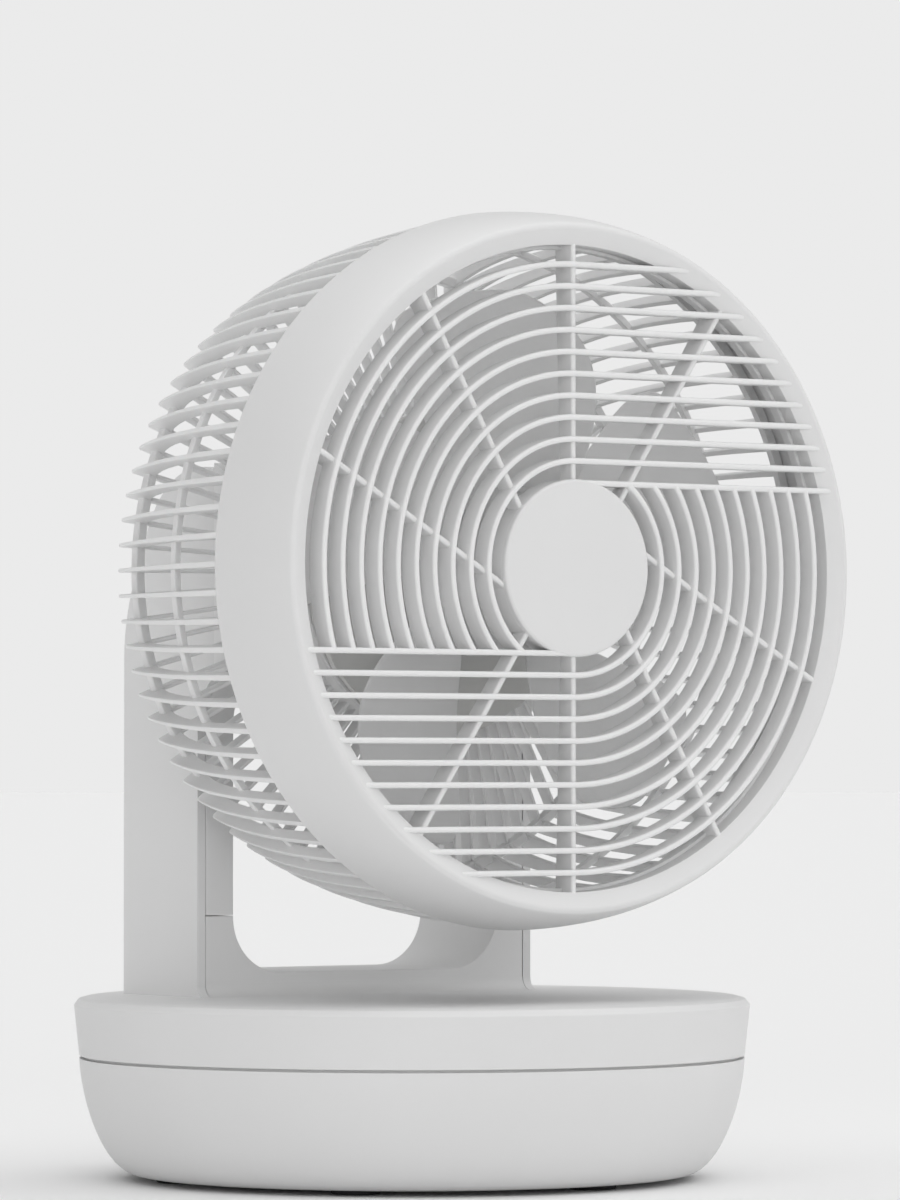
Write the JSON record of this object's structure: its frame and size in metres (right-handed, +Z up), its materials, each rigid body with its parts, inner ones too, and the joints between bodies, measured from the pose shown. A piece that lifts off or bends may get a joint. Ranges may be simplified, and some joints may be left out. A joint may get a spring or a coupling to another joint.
{
  "type": "air circulator fan",
  "caption": "Table-top air circulator fan: a drum head with bar front grille and finned rear guard, tilting in a U-shaped yoke on a swinging round base.",
  "frame": {"origin": "on the base axis, on the plane that the rubber feet stand on", "axes": "+Z up, -Y the way the fan blows, +X to the right when looking along +Y at the front grille"},
  "size_m": [0.2644, 0.254, 0.3587],
  "materials": {
    "casing": "fine matte moulded ABS, light grey-white",
    "grille": "smooth matte moulded ABS, light grey-white",
    "blade": "smooth moulded AS resin, light grey",
    "inner_plastic": "plain moulded",
    "nylon": "natural nylon",
    "rubber": "matte",
    "steel": "zinc plated",
    "copper": "enamelled copper windings",
    "circuit_board": "solder mask"
  },
  "bodies": {
    "base": {"base_bowl": "casing", "bottom_cover": "casing", "base_deck": "inner_plastic", "ballast": "steel", "power_board": "circuit_board", "power_inlet": "rubber", "swing_motor": "steel", "pivot_post": "steel", "slide_ring": "nylon", "foot_1": "rubber", "foot_2": "rubber", "foot_3": "rubber", "foot_4": "rubber", "foot_5": "rubber", "foot_6": "rubber"},
    "pinion": {"swing_pinion": "nylon"},
    "turntable": {"turntable_shell": "casing", "swing_quadrant": "nylon", "pivot_nut": "steel", "control_board": "circuit_board", "yoke_foot": "casing", "arm_right": "casing", "arm_left": "casing", "arm_cover_right": "casing", "arm_cover_left": "casing", "tilt_bush_right": "nylon", "tilt_bush_left": "nylon"},
    "head": {"front_band": "casing", "front_grille": "grille", "hub_disc": "casing", "rear_guard": "grille", "motor_housing": "casing", "motor_cover": "inner_plastic", "motor_stator": "copper", "bearing_front": "steel", "bearing_rear": "steel", "tilt_pin_right": "steel", "tilt_pin_left": "steel"},
    "rotor": {"fan_blade": "blade", "motor_shaft": "steel", "rotor_magnet": "steel", "blade_nut": "inner_plastic"}
  },
  "joints": [
    {"name": "swing", "type": "hinge", "parent": "base", "child": "turntable", "pos_m": [0, 0, 0.05], "axis": [0, 0, 1], "range_deg": [-45, 45]},
    {"name": "pinion_spin", "type": "hinge", "parent": "base", "child": "pinion", "pos_m": [0, -0.045, 0.05], "axis": [0, 0, 1], "range_deg": [-180, 180]},
    {"name": "tilt", "type": "hinge", "parent": "turntable", "child": "head", "pos_m": [0, 0.029, 0.2265], "axis": [-1, 0, 0], "range_deg": [-5, 90]},
    {"name": "fan_spin", "type": "hinge", "parent": "head", "child": "rotor", "pos_m": [0, -0.06, 0.2265], "axis": [0, -1, 0], "continuous": true}
  ],
  "couplings": [
    {"joint": "pinion_spin", "follows": "swing", "ratio": -4}
  ]
}
